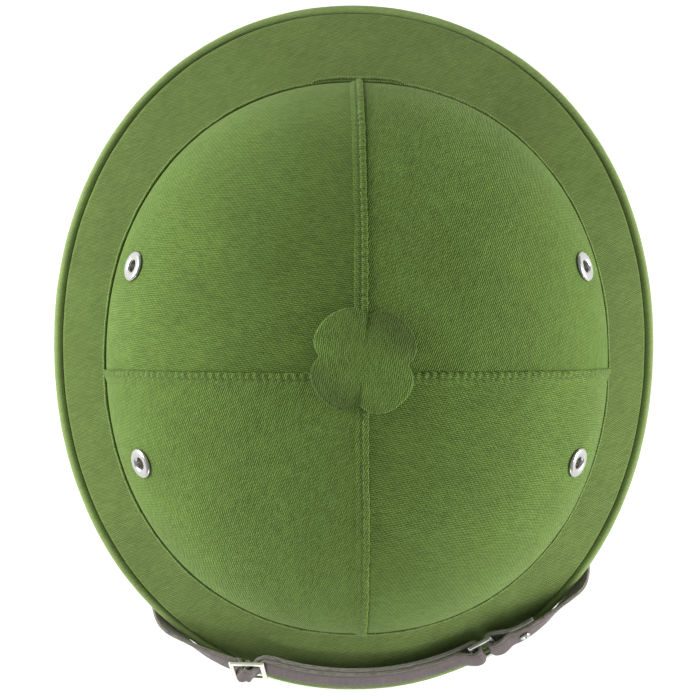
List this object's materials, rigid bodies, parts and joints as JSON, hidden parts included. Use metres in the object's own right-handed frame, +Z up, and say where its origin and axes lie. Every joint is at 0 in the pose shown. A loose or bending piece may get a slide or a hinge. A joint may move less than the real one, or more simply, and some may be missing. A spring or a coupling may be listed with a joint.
{
  "type": "pith helmet",
  "caption": "Cloth-covered sun helmet with a panelled twill dome, a lobed cloth button, vent eyelets, a hatband, a sloping brim with rolled rim and a chin strap stowed over the front.",
  "frame": {"origin": "centre of the helmet's box on the surface it rests on", "axes": "+Y to the back of the helmet, -Y to its front, +X to the wearer's left, +Z up"},
  "size_m": [0.264, 0.305, 0.1336],
  "materials": {
    "crown_cloth": "cotton twill, matte, green",
    "brim_cloth": "fine cotton twill, matte, green",
    "shell_fibre": "pressed plant fibre, matte, pale tan",
    "strap_leather": "smooth brown-grey imitation leather with a fibrous cut edge",
    "bright_metal": "polished"
  },
  "bodies": {
    "root": {"crown_panel_back_left": "crown_cloth", "crown_panel_back_right": "crown_cloth", "crown_panel_front_left": "crown_cloth", "crown_panel_front_right": "crown_cloth", "button": "crown_cloth", "brim_cover": "brim_cloth", "rim_binding": "brim_cloth", "hatband": "brim_cloth", "band_tab": "brim_cloth", "shell": "shell_fibre", "strap_long": "strap_leather", "strap_short": "strap_leather", "eyelet_back_right": "bright_metal", "eyelet_back_left": "bright_metal", "eyelet_front_right": "bright_metal", "eyelet_front_left": "bright_metal", "slider": "bright_metal", "link": "bright_metal", "stud": "bright_metal", "strap_rivet_right": "bright_metal", "strap_rivet_left": "bright_metal", "button_post": "bright_metal"}
  },
  "joints": []
}
